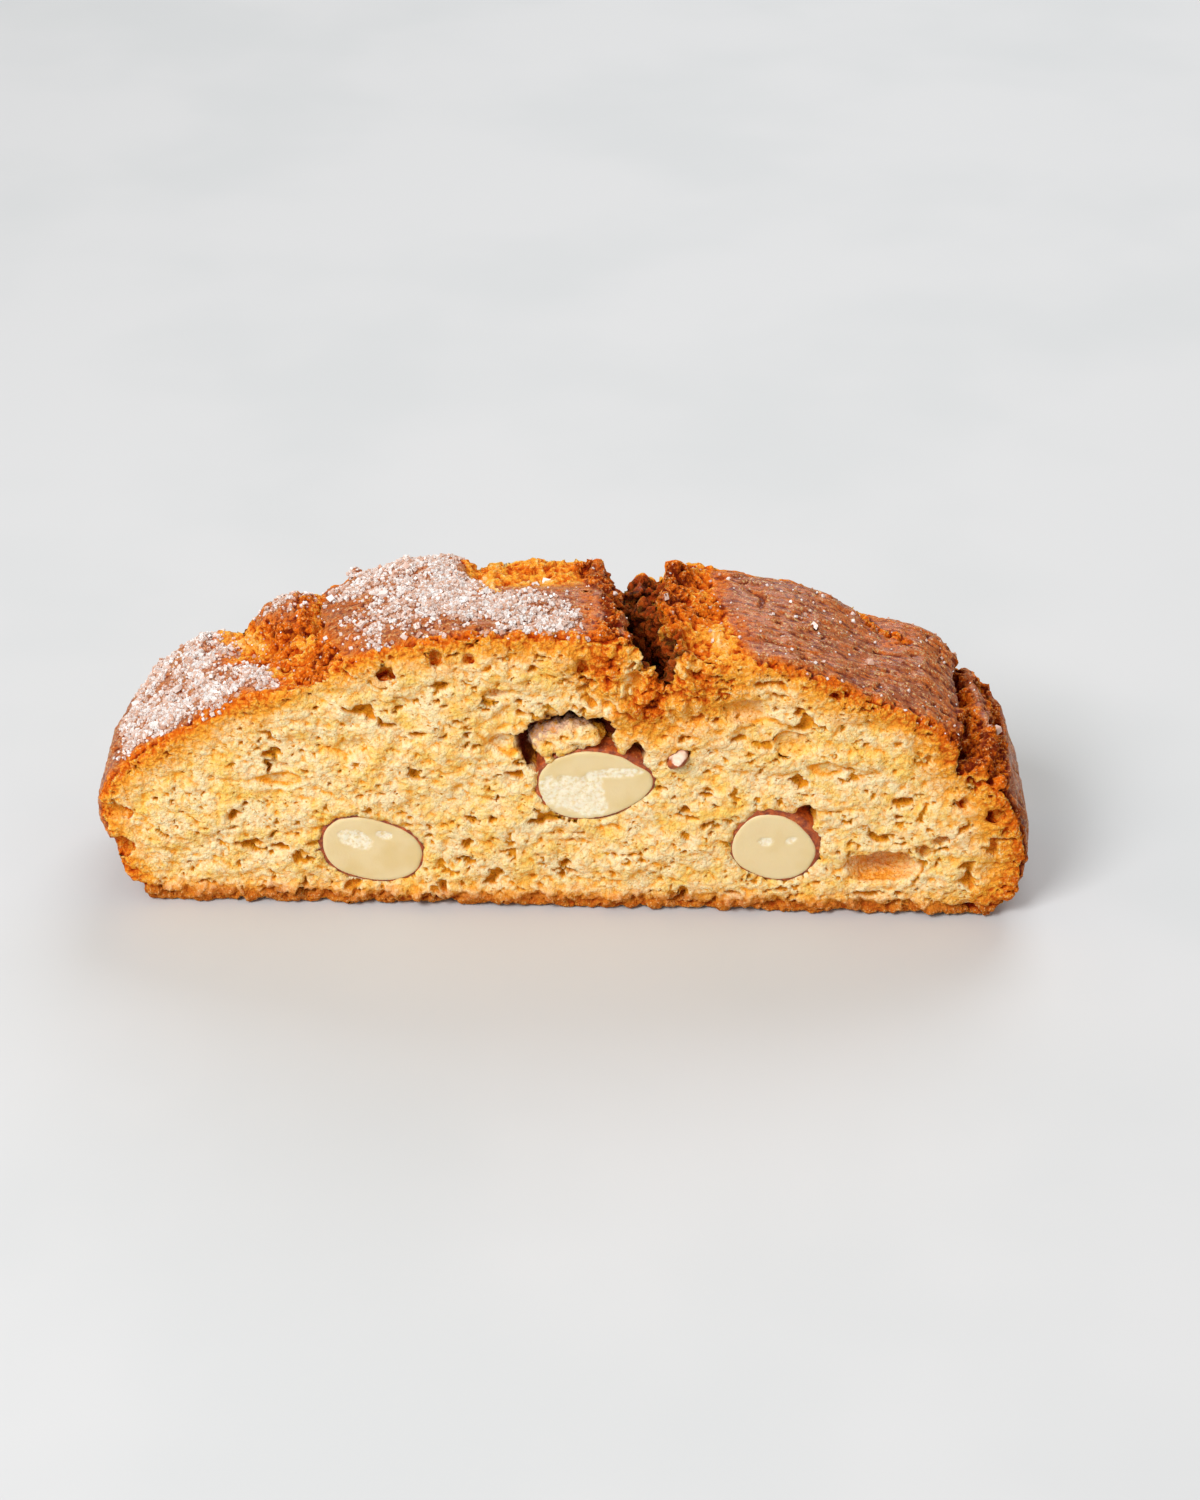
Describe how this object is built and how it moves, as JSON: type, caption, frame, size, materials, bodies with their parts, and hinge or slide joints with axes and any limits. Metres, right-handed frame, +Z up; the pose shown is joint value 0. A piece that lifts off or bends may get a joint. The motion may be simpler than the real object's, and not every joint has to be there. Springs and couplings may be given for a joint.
{
  "type": "almond biscotto",
  "caption": "Slice of twice-baked almond biscuit: domed, cracked, sugared crust over a crumbly cut face with cut almonds in it.",
  "frame": {"origin": "middle of the flat underside, on the table", "axes": "+X along the slice to the end with the two narrow cracks, +Y from the shown cut face through the thickness to the back one, +Z up from the underside to the crust"},
  "size_m": [0.1105, 0.0231, 0.0385],
  "materials": {
    "dough": "matt golden crumb, with a red-brown satin baked crust and white sugar crystals on part of it",
    "almond": "smooth cream kernel, satin, with a thin brown skin at its edge",
    "almond_skin": "thin wrinkled red-brown almond skin, satin",
    "sugar": "coarse white sugar crystals, clear at the edges, stuck to the crust"
  },
  "bodies": {
    "root": {"dough": "dough", "almond_left": "almond", "almond_middle": "almond", "almond_right": "almond", "almond_chip": "almond_skin"}
  },
  "joints": []
}
